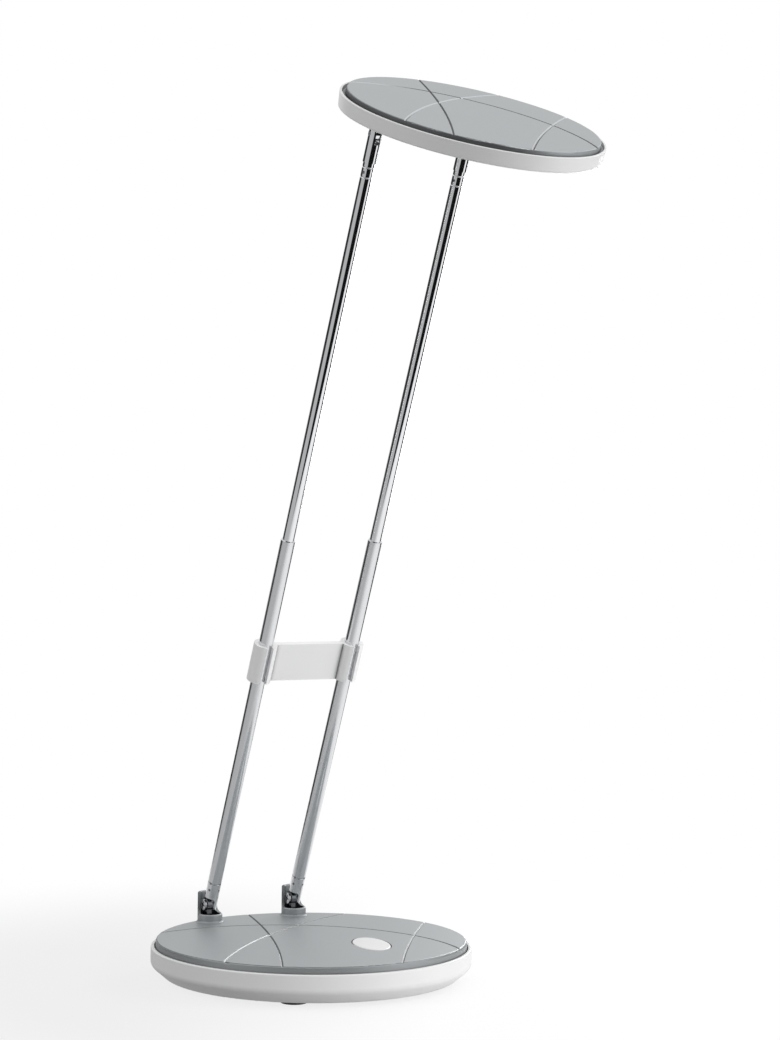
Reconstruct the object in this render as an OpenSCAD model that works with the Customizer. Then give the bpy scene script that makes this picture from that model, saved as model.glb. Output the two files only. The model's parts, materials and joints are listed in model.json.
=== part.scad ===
// Folding desk lamp: a round weighted base, two telescopic rods and a flat round light head.
// Millimetres, +Z up. The head leans towards -Y and the hinge pins lie along X.
// The origin is on the desk, below the middle of the base.

/* [Base] */
// Outer radius of the base tray
base_r = 67; // [60:0.5:78]
// Height of the tray from its underside to the seam with the cover
tray_h = 12.3; // [11.5:0.1:16]
// Thickness of the tray's upright rim
tray_wall = 1.4; // [1.2:0.1:2]
// Thickness of the tray's floor
tray_floor = 2; // [1.8:0.1:2.6]
// Height of the tray's sloping lower edge
bevel_h = 5.1; // [4:0.1:6]
// Distance that the sloping edge draws in
bevel_in = 6; // [4:0.5:8]
// Rounding at the two ends of the sloping edge
bevel_round = 3; // [1:0.5:4]
// Radius of a foot pad
foot_r = 5.5; // [4:0.5:6.5]
// Height that the foot pads hold the tray off the desk
foot_h = 1.7; // [1:0.1:3]
// Depth that a foot pad is let into the tray
foot_sink = 0.6; // [0.3:0.1:0.8]
// Distance of the foot pads from the middle of the base
foot_ring_r = 51; // [46:0.5:53]
// Angle of the foot pads from the front and back line
foot_angle = 36; // [30:1:45]
// Radius of the cable hole in the inlet grommet
inlet_r = 2.4; // [1.8:0.1:2.7]
// Distance of the inlet's axis below the seam
inlet_drop = 4.6; // [4.4:0.1:5]

/* [Base cover] */
// Shadow gap between the cover and the tray's rim
cover_gap = 0.6; // [0.3:0.1:1]
// Height of the cover above the seam
cover_rise = 2.84; // [2:0.1:4]
// Thickness of the cover's top
cover_t = 2; // [1.6:0.1:2.4]
// Thickness of the cover's skirt
skirt_t = 1.8; // [1.2:0.1:2.2]
// Depth that the skirt reaches below the seam
skirt_drop = 3; // [2:0.1:4]
// Rounding of the cover's top edge
cover_round = 0.9; // [0.3:0.1:1.4]
// Width of a decorative groove
groove_w = 1; // [0.5:0.1:1.4]
// Depth of a decorative groove
groove_d = 0.45; // [0.2:0.05:0.7]

/* [Button and electronics] */
// Half the length of the oval button
button_a = 14.6; // [12:0.1:16]
// Half the width of the oval button
button_b = 7.4; // [6.4:0.1:8.5]
// Turn of the button's long axis from the X axis
button_turn = 74; // [60:1:110]
// Place of the button to the right of the middle
button_x = 15.7; // [10:0.1:18]
// Place of the button in front of the middle
button_front = 23; // [20:0.1:26]
// Height of the button above the cover
button_proud = 0.5; // [0.2:0.1:1]
// Travel of the button
button_travel = 1.2; // [0.6:0.1:1.4]
// Gap round the button
button_gap = 0.45; // [0.3:0.05:0.7]
// Size of the control board across
board_w = 36; // [34:1:40]
// Size of the control board from front to back
board_d = 44; // [43:1:48]
// Thickness of the control board
board_t = 1.2; // [1:0.1:1.6]
// Room between the control board and the cover
board_room = 3.4; // [3.3:0.1:3.8]

/* [Hinges] */
// Distance between the axes of the two rods
rod_gap = 41; // [36:0.5:46]
// Distance of the base hinges from the rim of the tray
hinge_inset = 12; // [11.5:0.5:16]
// Height of the base hinge pins above the cover
pivot_rise = 7.6; // [7:0.1:10]
// Outer radius of a hinge cup
cup_r = 5.4; // [5.3:0.1:5.8]
// Wall of a hinge cup
cup_wall = 1.3; // [1:0.1:1.4]
// Drop from the hinge pin to the cup's front lip
lip_drop = 4; // [3.6:0.1:5]
// Rise from the hinge pin to the top of the cup's back wall
wall_rise = 5.4; // [3:0.1:7]
// Rounded end of a hinge lug
lug_r = 3; // [2.6:0.1:3.1]
// Thickness of a hinge lug
lug_t = 2; // [1.6:0.1:2.2]
// Thickness of the friction washer between lug and rod end
washer_t = 0.6; // [0.4:0.1:0.8]
// Thickness of a rod end's ear
ear_t = 2.1; // [1.8:0.1:2.3]
// Radius of a hinge screw's shank
hinge_screw_r = 1.25; // [1:0.05:1.5]
// Radius of a hinge screw's head
hinge_head_r = 2.4; // [2:0.1:2.6]
// Height of a hinge screw's head
hinge_head_h = 1; // [0.9:0.1:1.4]

/* [Rods] */
// Forward lean of the rods from upright
rod_lean = 23.2; // [0:0.1:60]
// Outer diameter of a lower tube
lower_d = 6; // [5.8:0.1:6.4]
// Wall of a lower tube
lower_wall = 0.5; // [0.4:0.05:0.55]
// Distance from the base hinge to the mouth of a lower tube
lower_reach = 173; // [140:1:200]
// Distance from the base hinge to the top fork with the rods drawn out
fork_reach = 333.3; // [300:1:360]
// Length of an upper tube left inside its lower tube
overlap = 15; // [12:0.5:25]
// Wall of an upper tube
upper_wall = 0.4; // [0.3:0.05:0.5]
// Outer diameter of a top fork
fork_d = 5.5; // [5.2:0.1:6]
// Distance from the fork's shoulder to the head pin
fork_pin = 11.2; // [9:0.1:14]
// Width of the fork's slot
fork_slot = 1.8; // [1.4:0.1:2.2]
// Radius of a head pin
pin_r = 1; // [0.8:0.05:1.2]
// Distance from the base hinge to the bottom of the clip
clip_at = 109; // [60:1:140]
// Height of the clip along the rods
clip_h = 16.7; // [10:0.1:24]
// Wall of the clip's jaws
clip_wall = 1.9; // [1.4:0.1:2.2]
// Thickness of the clip's web
clip_web = 2.4; // [1.6:0.1:3.2]
// Width of the slit in a jaw
clip_slit = 2.8; // [2:0.1:4]

/* [Head] */
// Outer radius of the head at the seam
head_r = 51.4; // [47:0.1:56]
// Draw-in of the head's rim from the seam to its lower edge
head_draft = 0.6; // [0:0.1:1.5]
// Height of the head's shell below the seam
head_h = 6.1; // [5.8:0.1:8]
// Distance from the head pins to the seam
head_rise = 18.2; // [17:0.1:24]
// Distance of the head pins from the head's back edge
head_inset = 17.3; // [15.5:0.1:19]
// Thickness of the head's rim
head_wall = 0.9; // [0.7:0.05:1.2]
// Thickness of the head's floor
head_floor = 1.5; // [1.4:0.1:1.8]
// Shadow gap between the head's cover and rim
head_gap = 0.35; // [0.2:0.05:0.6]
// Height of the head's cover above the seam
head_cover_rise = 1.56; // [1.2:0.02:2]
// Width of the shadow step round the head's cover
head_step = 1.2; // [0.8:0.1:1.4]
// Thickness of the head's cover
head_cover_t = 1.8; // [1.6:0.1:1.9]
// Radius of the light window
lens_r = 28; // [24:0.5:30]
// Distance of the light window from the head's front edge
lens_edge = 11.4; // [10:0.1:13]
// Thickness of the diffuser's flange
lens_t = 1.2; // [0.8:0.1:1.2]
// Thickness of the light board
led_board_t = 1; // [0.8:0.1:1]
// Number of lights in the inner ring
led_inner_count = 8; // [4:1:12]
// Number of lights in the outer ring
led_outer_count = 16; // [8:1:22]

/* [Hidden] */
$fn = 96;
sides = [-1, 1];
eps = 0.5;
loose = 0.05;
seat = 0.1;

// Finishes
white_plastic = [0.93, 0.93, 0.92];
grey_plastic = [0.66, 0.68, 0.69];
chrome = [0.80, 0.81, 0.83];
steel = [0.55, 0.56, 0.58];
rubber = [0.12, 0.12, 0.13];
board_green = [0.12, 0.36, 0.24];
brass = [0.78, 0.63, 0.32];
wire_red = [0.70, 0.12, 0.10];
black_plastic = [0.10, 0.10, 0.11];

// Levels of the base, from the desk up
floor_top = foot_h + tray_floor;
seam_z = foot_h + tray_h;
cover_top = seam_z + cover_rise;
cover_under = cover_top - cover_t;
ledge_top = seam_z - skirt_drop;
inlet_z = seam_z - inlet_drop;
board_top = cover_under - board_room;
board_under = board_top - board_t;

// Radii of the base, from the rim in
rim_round = 0.6;
tray_in_r = base_r - tray_wall;
cover_r = tray_in_r - cover_gap;
cover_draft = 0.15;
skirt_in_r = cover_r - skirt_t;
ledge_r = skirt_in_r - 0.3;
ledge_t = 1.8;
floor_r = base_r - bevel_in - tray_wall;

// Screws that hold the cover to the tray
cover_screw_r = 1.5;
cover_head_r = 2.8;
cover_head_h = 2;
cover_head_sink = 0.3;
boss_r = 4.2;
boss_ring_r = floor_r - boss_r - 0.9;
boss_split = board_under - 1.4;
cover_screw_angles = [20, 160, 255, 285];
cover_screw_tip = cover_under - 0.6;

// Small screws under the control board
post_r = 2.4;
board_screw_r = 1;
board_screw_head_r = 1.9;
board_screw_head_h = 1.1;
post_margin = 3.4;
post_x = board_w / 2 - post_margin;
post_y = board_d / 2 - post_margin;

// Base weight, which fills the room below the control board
ballast_r = boss_ring_r - boss_r - 1.3;
ballast_top = board_under - board_screw_head_h - 0.9;
ballast_screw_r = 1.5;
ballast_screw_ring_r = 30;
ballast_screw_angles = [30, 150, 270];
ballast_head_r = 2.6;
ballast_head_h = 1;

// Cable grommet
grommet_wall = 1;
grommet_body_r = inlet_r + grommet_wall;
grommet_lip_r = grommet_body_r + 0.9;
grommet_lip_t = 0.8;
grommet_tail = 7;

// Oval button and its switch
oval_sides = 72;
button_wall = 1.2;
button_cap_t = 1.4;
button_flange_w = 1.1;
button_flange_t = 1.1;
button_flange_top = cover_under - 0.3;
button_top = cover_top + button_proud;
cap_under = button_top - button_cap_t;
button_edge = 0.45;
switch_size = 7;
switch_h = board_room - 0.6;
switch_top = board_top + switch_h;
plunger_r = 1.7;
plunger_sink = 0.8;
plunger_over = 0.2;

// Parts on the control board
terminal_size = [9, 4.6, 3];
choke_r = 3;
choke_h = 2.6;
chip_size = [4.5, 6, 1.4];
capacitor_r = 2.2;
part_margin = 0.3;
choke_y = 7;
chip_y = -8;
capacitor_y = -5;

// Base hinges
hinge_y = base_r - hinge_inset;
pivot_z = cover_top + pivot_rise;
cup_in_r = cup_r - cup_wall;
cup_cut = cup_r / 2;
cup_scoop = 2.6;
cup_sink = 0.8;
cup_foot_r = cup_in_r + 0.2;
cup_fillet = 1.2;
lug_face = washer_t / 2 + loose;
lug_neck = lug_r - 0.8;
lug_flange_t = 1;
lug_flange_r = cup_in_r - 0.3;
stem_r = 1.5;
tag_t = 0.5;
tag_r = 2.8;
tag_tail = 7;
tag_tail_w = 2.4;
nut_r = 3.1;
nut_t = 2.4;
stem_tip = cover_under - tag_t - nut_t - 0.5;
ear_fillet = 1.4;
washer_r = 2.4;
recess_w = 0.6;
recess_l = 3;
recess_d = 0.8;
small_recess = 0.75;

// Rods, measured along the rod from the base hinge
lower_r = lower_d / 2;
lower_in_r = lower_r - lower_wall;
mouth_t = 1.5;
mouth_clear = 0.05;
tube_clear = 0.1;
upper_r = lower_in_r - tube_clear;
upper_in_r = upper_r - upper_wall;
shoulder_at = lug_r + 0.9;
tube_at = shoulder_at + 1.5;
plug_l = 8.6;
plug_top = tube_at + plug_l;
dimple_r = 0.6;
dimple_at = 2.6;
dimple_step = 3.2;
dimple_rows = [tube_at + dimple_at, tube_at + dimple_at + dimple_step];
dimple_turn = 62;
dimple_count = 4;
upper_at = lower_reach - overlap;
bush_r = lower_in_r - 0.03;
bush_t = 4;
bush_spigot = 5;
crimp_rows = [2, 6];
upper_dimple_row = 4;
crimp_r = 0.4;
crimp_d = 0.15;
fork_r = fork_d / 2;
fork_spigot = 15;
pivot_l = fork_reach + fork_pin;
slot_floor = 3.8;
clip_clear = 0.08;
jaw_in_r = lower_r + clip_clear;
jaw_r = jaw_in_r + clip_wall;

// Head, in its own frame with the seam at zero
head_forward = head_r - head_inset;
head_floor_top = head_floor - head_h;
head_in_r = head_r - head_wall;
head_cover_r = head_in_r - head_gap;
head_cover_under = head_cover_rise - head_cover_t;
head_skirt_t = 1.2;
head_edge_round = 0.8;
head_rim_round = 0.3;
head_cover_round = 0.4;
head_step_d = 1;
lens_y = lens_edge + lens_r - head_r;
lens_flange_w = 1.5;
lens_clear = 0.15;
led_board_r = lens_r + lens_flange_w;
pad_t = 0.5;
pad_r = 24;
led_board_top = head_cover_under - pad_t;
led_board_under = led_board_top - led_board_t;
led_l = 3.5;
led_w = 2.8;
led_h = 0.7;
led_inner_r = 11;
led_outer_r = 20.5;
led_screw_ring_r = 26.4;
led_screw_angles = [90, 210, 330];
led_screw_r = 0.8;
led_screw_head_r = 1.5;
led_screw_head_h = 0.7;
head_boss_r = 2.6;
head_boss_split = head_floor_top + 1.9;
head_screw_inset = 9.4;
head_screw_ring_r = head_r - head_screw_inset;
head_screw_angles = [-15, 90, 195];
head_screw_r = 1;
head_screw_head_r = 1.9;
head_screw_head_h = 0.9;
tongue_t = fork_slot - 2 * seat;
tongue_w = 5;
tongue_boss_r = 5.2;
tongue_boss_h = 3;
tongue_plate = [11, 6, 1];
tongue_screw_x = 3.8;
tongue_screw_r = 0.8;
tongue_screw_head_r = 1.4;
tongue_screw_head_h = 0.8;
tongue_screw_l = 3.4;

// Wires
base_wire_r = 0.7;
head_wire_r = 0.5;

// Decorative grooves, each an arc through three points given as shares of the cover's radius
shared_arcs = [
    [[0.014, 0.88], [-0.235, 0.10], [-0.61, -0.76]],
    [[-0.77, 0.60], [0.22, 0.42], [0.665, -0.70]],
    [[-0.86, -0.48], [-0.22, 0.20], [0.50, 0.67]]
];
base_arcs = concat(shared_arcs, [[[0.10, -0.99], [0.48, -0.43], [0.93, 0.16]]]);
head_arcs = concat(shared_arcs, [[[-0.07, -0.99], [0.36, -0.43], [0.92, 0.17]]]);

// Geometry helpers

function unit(v) = v / norm(v);

// Centre of the circle through three points of the plane
function arc_centre(a, b, c) =
    let (d = 2 * (a.x * (b.y - c.y) + b.x * (c.y - a.y) + c.x * (a.y - b.y)))
    let (x = ((a * a) * (b.y - c.y) + (b * b) * (c.y - a.y) + (c * c) * (a.y - b.y)) / d)
    let (y = ((a * a) * (c.x - b.x) + (b * b) * (a.x - c.x) + (c * c) * (b.x - a.x)) / d)
    [x, y];

// Half of the angle at corner p between its neighbours a and b
function corner_half(a, p, b) = acos(unit(a - p) * unit(b - p)) / 2;

// The two points where a rounding of radius r leaves the sides at corner p
function corner_touch(a, p, b, r) =
    let (reach = r / tan(corner_half(a, p, b)))
    [p + unit(a - p) * reach, p + unit(b - p) * reach];

function corner_centre(a, p, b, r) =
    p + unit(unit(a - p) + unit(b - p)) * r / sin(corner_half(a, p, b));

// Outline whose outward corners are rounded by the given radii
module rounded_outline(points, radii) {
    n = len(points);
    polygon([
        for (i = [0 : n - 1])
            each radii[i] > 0
                ? corner_touch(points[(i + n - 1) % n], points[i], points[(i + 1) % n], radii[i])
                : [points[i]]
    ]);
    for (i = [0 : n - 1])
        if (radii[i] > 0)
            translate(corner_centre(points[(i + n - 1) % n], points[i], points[(i + 1) % n], radii[i]))
                circle(radii[i]);
}

module rod_z(z0, z1, r) {
    translate([0, 0, z0])
        cylinder(r = r, h = z1 - z0);
}

module rod_x(x0, x1, r) {
    translate([x0, 0, 0])
        rotate([0, 90, 0])
            cylinder(r = r, h = x1 - x0);
}

module box(low, high) {
    translate(low)
        cube(high - low);
}

module round_ring(angles, r) {
    for (a = angles)
        translate([r * cos(a), r * sin(a), 0])
            children();
}

// Frame of one rod: the base hinge is the origin and +Z runs up the rod
module at_rod(side) {
    translate([side * rod_gap / 2, hinge_y, pivot_z])
        rotate([rod_lean, 0, 0])
            children();
}

module at_both_rods() {
    for (side = sides)
        at_rod(side)
            children();
}

module at_hinge(side) {
    translate([side * rod_gap / 2, hinge_y, 0])
        children();
}

// Frame of the head: the middle of the seam is the origin and +Z leaves its top
module at_head() {
    translate([0, hinge_y, pivot_z])
        rotate([rod_lean, 0, 0])
            translate([0, -head_forward, pivot_l + head_rise])
                children();
}

module at_tongue(side) {
    translate([side * rod_gap / 2, head_forward, 0])
        children();
}

module at_lens() {
    translate([0, lens_y, 0])
        children();
}

module at_button() {
    translate([button_x, -button_front, 0])
        children();
}

module at_posts() {
    at_button()
        for (x = sides, y = sides)
            translate([x * post_x, y * post_y, 0])
                children();
}

// Oval prism on the button's axes, larger than the button by grow
module oval(z0, z1, grow) {
    points = [
        for (i = [0 : oval_sides - 1])
            let (turn = 360 * i / oval_sides)
            [(button_a + grow) * cos(turn), (button_b + grow) * sin(turn)]
    ];
    translate([0, 0, z0])
        rotate(button_turn)
            linear_extrude(z1 - z0)
                polygon(points);
}

// Arc grooves cut in the top of a cover of radius r
module arc_grooves(arcs, r, top) {
    for (arc = arcs) {
        centre = arc_centre(arc[0], arc[1], arc[2]) * r;
        reach = norm(arc[0] * r - centre);
        translate([centre.x, centre.y, top])
            rotate_extrude($fn = 360)
                polygon([[reach - groove_w, groove_d], [reach + groove_w, groove_d], [reach, -groove_d]]);
    }
}

// Straight wire between two points
module wire(start, end, r) {
    run = end - start;
    translate(start)
        rotate([0, acos(run.z / norm(run)), atan2(run.y, run.x)])
            cylinder(r = r, h = norm(run));
}

// Cross-shaped driver recess, cut along -Z from the face at z
module cross_recess(z, l, w, d) {
    for (turn = [0, 90])
        rotate(turn)
            box([-l / 2, -w / 2, z - d], [l / 2, w / 2, z + eps]);
}

// Base

module base_tray() {
    wall_out = [
        [0, foot_h], [base_r - bevel_in, foot_h], [base_r, foot_h + bevel_h],
        [base_r, seam_z], [0, seam_z]
    ];
    hollow = [
        [0, floor_top], [floor_r, floor_top], [tray_in_r, floor_top + bevel_h],
        [tray_in_r, seam_z + eps], [0, seam_z + eps]
    ];
    color(white_plastic)
        difference() {
            union() {
                difference() {
                    rotate_extrude()
                        rounded_outline(wall_out, [0, bevel_round, bevel_round, rim_round, 0]);
                    rotate_extrude()
                        polygon(hollow);
                }
                rotate_extrude()
                    translate([ledge_r, ledge_top - ledge_t])
                        square([tray_in_r - ledge_r + eps, ledge_t]);
                round_ring(cover_screw_angles, boss_ring_r)
                    rod_z(floor_top - eps, boss_split, boss_r);
            }
            round_ring(cover_screw_angles, boss_ring_r) {
                rod_z(foot_h - eps, foot_h + cover_head_sink + cover_head_h, cover_head_r + 2 * seat);
                rod_z(foot_h, boss_split + eps, cover_screw_r + 2 * seat);
            }
            round_ring(ballast_screw_angles, ballast_screw_ring_r) {
                rod_z(foot_h - eps, foot_h + ballast_head_h, ballast_head_r + 2 * seat);
                rod_z(foot_h, floor_top + eps, ballast_screw_r + 2 * seat);
            }
            foot_places()
                rod_z(foot_h - eps, foot_h + foot_sink, foot_r + seat);
            inlet_cut(grommet_body_r + seat, base_r + eps);
            inlet_cut(grommet_lip_r + 2 * seat, tray_in_r);
        }
}

module foot_places() {
    for (x = sides, y = sides)
        translate([x * foot_ring_r * sin(foot_angle), y * foot_ring_r * cos(foot_angle), 0])
            children();
}

// Round cut along the cable inlet, out to the given distance from the middle
module inlet_cut(r, reach) {
    translate([0, base_r - grommet_tail - eps, inlet_z])
        rotate([-90, 0, 0])
            cylinder(r = r, h = reach - base_r + grommet_tail + eps);
}

module base_cover() {
    outline = [
        [0, ledge_top], [cover_r, ledge_top], [cover_r, seam_z],
        [cover_r - cover_draft, cover_top], [0, cover_top]
    ];
    hollow = [
        [0, ledge_top - eps], [skirt_in_r, ledge_top - eps],
        [skirt_in_r, cover_under], [0, cover_under]
    ];
    color(grey_plastic)
        difference() {
            union() {
                difference() {
                    rotate_extrude()
                        rounded_outline(outline, [0, 0, 0, cover_round, 0]);
                    rotate_extrude()
                        polygon(hollow);
                }
                round_ring(cover_screw_angles, boss_ring_r)
                    rod_z(boss_split, cover_under + eps, boss_r);
                at_posts()
                    rod_z(board_top, cover_under + eps, post_r);
            }
            round_ring(cover_screw_angles, boss_ring_r)
                rod_z(boss_split - eps, cover_screw_tip + seat, cover_screw_r + loose);
            at_posts()
                rod_z(board_top - eps, cover_under, board_screw_r + loose);
            for (side = sides)
                at_hinge(side) {
                    rod_z(cover_under - eps, cover_top + eps, stem_r + seat);
                    rod_z(cover_top - cup_sink, cover_top + eps, cup_foot_r + seat);
                }
            at_button()
                oval(cover_under - eps, cover_top + eps, button_gap);
            arc_grooves(base_arcs, cover_r, cover_top);
            inlet_cut(grommet_lip_r + 2 * seat, base_r);
        }
}

// Cups round the hinges, sunk into the cover and clamped there by the lugs' flanges
module hinge_cups() {
    color(grey_plastic)
        difference() {
            union() {
                for (side = sides)
                    at_hinge(side) {
                        rod_z(cover_top - cup_sink, cover_top, cup_foot_r);
                        hinge_cup();
                    }
                cup_fillets();
            }
            for (side = sides)
                at_hinge(side)
                    rod_z(cover_top - cup_sink - eps, cover_top + eps, stem_r + seat);
        }
}

// Wall of a cup with a round top
module cup_ring(top) {
    round_r = cup_wall / 2;
    rotate_extrude() {
        translate([cup_in_r, cover_top])
            square([cup_wall, top - round_r - cover_top]);
        translate([cup_r - round_r, top - round_r])
            circle(round_r);
    }
}

// Cup with a low front lip, scooped sides and a high back wall
module hinge_cup() {
    lip_z = pivot_z - lip_drop;
    wall_z = pivot_z + wall_rise;
    reach = cup_r + eps;
    scoop_y = cup_cut - cup_scoop;
    cup_ring(lip_z);
    difference() {
        cup_ring(wall_z);
        box([-reach, -reach, lip_z - cup_wall], [reach, scoop_y, wall_z + eps]);
        box([-reach, -reach, lip_z + cup_scoop], [reach, cup_cut, wall_z + eps]);
        translate([0, scoop_y, lip_z + cup_scoop])
            rod_x(-reach, reach, cup_scoop);
    }
}

// Small fillets round the cups, which end on the cover
module cup_fillets() {
    sink = 0.04;
    intersection() {
        for (side = sides)
            at_hinge(side)
                translate([0, 0, cover_top])
                    rotate_extrude()
                        difference() {
                            translate([cup_r - eps, 0])
                                square([cup_fillet + eps, cup_fillet - sink]);
                            translate([cup_r + cup_fillet - sink, cup_fillet - sink])
                                circle(cup_fillet);
                        }
        rod_z(seam_z, pivot_z, cover_r - cover_draft - cover_round / 2);
    }
}

module ballast_plate() {
    color(steel)
        difference() {
            rod_z(floor_top, ballast_top, ballast_r);
            round_ring(ballast_screw_angles, ballast_screw_ring_r)
                rod_z(floor_top - eps, ballast_top + eps, ballast_screw_r + loose);
        }
}

module ballast_screws() {
    color(steel)
        round_ring(ballast_screw_angles, ballast_screw_ring_r)
            difference() {
                union() {
                    rod_z(foot_h, foot_h + ballast_head_h, ballast_head_r);
                    rod_z(foot_h, ballast_top, ballast_screw_r);
                }
                rotate([180, 0, 0])
                    cross_recess(-foot_h, recess_l, recess_w, recess_d);
            }
}

module base_feet() {
    color(rubber)
        foot_places()
            rotate_extrude()
                rounded_outline(
                    [[0, 0], [foot_r, 0], [foot_r, foot_h + foot_sink], [0, foot_h + foot_sink]],
                    [0, foot_h / 3, 0, 0]
                );
}

module cable_grommet() {
    body = [
        [inlet_r, -grommet_tail], [grommet_body_r, -grommet_tail], [grommet_body_r, 0],
        [grommet_lip_r, 0], [grommet_lip_r, grommet_lip_t], [inlet_r, grommet_lip_t]
    ];
    color(rubber)
        translate([0, base_r, inlet_z])
            rotate([-90, 0, 0])
                rotate_extrude()
                    polygon(body);
}

module cover_screws() {
    head_z = foot_h + cover_head_sink;
    color(steel)
        round_ring(cover_screw_angles, boss_ring_r)
            difference() {
                union() {
                    rod_z(head_z, head_z + cover_head_h, cover_head_r);
                    rod_z(head_z, cover_screw_tip, cover_screw_r);
                }
                rotate([180, 0, 0])
                    cross_recess(-head_z, recess_l, recess_w, recess_d);
            }
}

module control_board() {
    color(board_green)
        difference() {
            at_button()
                box([-board_w / 2, -board_d / 2, board_under], [board_w / 2, board_d / 2, board_top]);
            at_posts()
                rod_z(board_under - eps, board_top + eps, board_screw_r + seat);
        }
}

module board_screws() {
    color(steel)
        at_posts()
            difference() {
                union() {
                    rod_z(board_under - board_screw_head_h, board_under, board_screw_head_r);
                    rod_z(board_under - board_screw_head_h, cover_under - seat, board_screw_r);
                }
                rotate([180, 0, 0])
                    cross_recess(
                        board_screw_head_h - board_under,
                        recess_l * small_recess,
                        recess_w,
                        recess_d * small_recess
                    );
            }
}

// Terminal block, choke, driver chip and capacitor
module board_components() {
    edge = board_w / 2 - choke_r - part_margin;
    terminal_y = board_d / 2 - terminal_size.y - part_margin;
    color(black_plastic)
        at_button()
            translate([0, 0, board_top]) {
                translate([-terminal_size.x / 2, terminal_y, 0])
                    cube(terminal_size);
                translate([-edge, choke_y, 0])
                    cylinder(r = choke_r, h = choke_h);
                translate([-edge - chip_size.x / 2, chip_y, 0])
                    cube(chip_size);
                translate([edge, capacitor_y, 0])
                    cylinder(r = capacitor_r, h = choke_h);
            }
}

module push_switch() {
    half = switch_size / 2;
    well_floor = switch_top - plunger_sink - button_travel - plunger_over;
    color(black_plastic)
        at_button()
            difference() {
                box([-half, -half, board_top], [half, half, switch_top]);
                rod_z(well_floor, switch_top + eps, plunger_r + loose);
            }
}

module switch_plunger() {
    color(white_plastic)
        at_button()
            rod_z(switch_top - plunger_sink, cap_under, plunger_r);
}

// Oval cap with a skirt and a flange that stops it under the cover
module power_button() {
    color(white_plastic)
        at_button()
            difference() {
                union() {
                    oval(button_flange_top - button_flange_t, button_top - button_edge, 0);
                    oval(button_top - 2 * button_edge, button_top, -button_edge);
                    oval(button_flange_top - button_flange_t, button_flange_top, button_flange_w);
                }
                oval(button_flange_top - button_flange_t - eps, cap_under, -button_wall);
            }
}

// Base hinges

// Round eye on a narrower neck and a flange, with a threaded stem through the cover
module hinge_lug(side) {
    color(chrome)
        at_hinge(side)
            difference() {
                union() {
                    rod_z(cover_top, cover_top + lug_flange_t, lug_flange_r);
                    rod_z(stem_tip, cover_top + lug_flange_t, stem_r);
                    box(
                        [-lug_face - lug_t, -lug_neck, cover_top + lug_flange_t / 2],
                        [-lug_face, lug_neck, pivot_z]
                    );
                    translate([0, 0, pivot_z])
                        rod_x(-lug_face - lug_t, -lug_face, lug_r);
                }
                translate([0, 0, pivot_z])
                    rod_x(-lug_face - lug_t - eps, -lug_face + eps, hinge_screw_r + loose);
            }
}

module hinge_lug_left() {
    hinge_lug(-1);
}

module hinge_lug_right() {
    hinge_lug(1);
}

// Solder tags clamped between the cover and the stem nuts
module lug_tags() {
    color(brass)
        for (side = sides)
            at_hinge(side)
                difference() {
                    union() {
                        rod_z(cover_under - tag_t, cover_under, tag_r);
                        box(
                            [-tag_tail_w / 2, -tag_tail, cover_under - tag_t],
                            [tag_tail_w / 2, 0, cover_under]
                        );
                    }
                    rod_z(cover_under - tag_t - eps, cover_under + eps, stem_r + seat);
                }
}

module lug_nuts() {
    nut_top = cover_under - tag_t;
    color(steel)
        for (side = sides)
            at_hinge(side)
                difference() {
                    translate([0, 0, nut_top - nut_t])
                        cylinder(r = nut_r, h = nut_t, $fn = 6);
                    rod_z(nut_top - nut_t - eps, nut_top + eps, stem_r + loose);
                }
}

// One wire from the terminal block to each hinge, because the rods carry the current
module lug_wires() {
    start_y = board_d / 2 - button_front + base_wire_r;
    start_z = board_top + terminal_size.z / 2;
    end_z = cover_under - tag_t - base_wire_r - loose;
    end_y = hinge_y - tag_tail + base_wire_r;
    color(wire_red)
        for (side = sides)
            wire(
                [button_x + side * terminal_size.x / 4, start_y, start_z],
                [side * rod_gap / 2, end_y, end_z],
                base_wire_r
            );
}

// Rods

// Plug that closes a lower tube, cut away beside the lug so that an ear is left for the hinge screw
module rod_end(side) {
    ear_in = washer_t / 2;
    ear_out = ear_in + ear_t;
    past = lower_r + eps;
    color(chrome)
        at_rod(side)
            difference() {
                union() {
                    rod_z(-lower_r, tube_at, lower_r);
                    rod_z(tube_at - eps, plug_top, lower_in_r - loose);
                }
                box([-past, -past, -past], [ear_in - ear_fillet, past, shoulder_at]);
                box([-past, -past, -past], [ear_in, past, shoulder_at - ear_fillet]);
                translate([ear_in - ear_fillet, 0, shoulder_at - ear_fillet])
                    rotate([90, 0, 0])
                        cylinder(r = ear_fillet, h = 2 * past, center = true);
                box([ear_out, -past, -past], [past, past, shoulder_at]);
                difference() {
                    box([ear_in - eps, -past, -past], [ear_out + eps, past, 0]);
                    rod_x(ear_in - 2 * eps, ear_out + 2 * eps, lower_r);
                }
                rod_x(ear_in - eps, ear_out + eps, hinge_screw_r + loose / 2);
            }
}

module rod_end_left() {
    rod_end(-1);
}

module rod_end_right() {
    rod_end(1);
}

// Dents pressed into a tube of radius r
module dimples(rows, r) {
    for (row = rows, i = [0 : dimple_count - 1])
        rotate(i * 360 / dimple_count - 90 - dimple_turn)
            translate([r + dimple_r / 3, 0, row])
                sphere(dimple_r);
}

// Fine rings pressed round a tube of radius r
module crimps(rows, r) {
    for (row = rows)
        translate([0, 0, row])
            rotate_extrude()
                translate([r + crimp_r - crimp_d, 0])
                    circle(crimp_r, $fn = 32);
}

module lower_tube(side) {
    color(chrome)
        at_rod(side)
            difference() {
                rod_z(tube_at, lower_reach, lower_r);
                rod_z(tube_at - eps, lower_reach - mouth_t, lower_in_r);
                rod_z(lower_reach - mouth_t - eps, lower_reach + eps, upper_r + mouth_clear);
                dimples(dimple_rows, lower_r);
                crimps([dimple_rows[1]], lower_r);
            }
}

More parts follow.
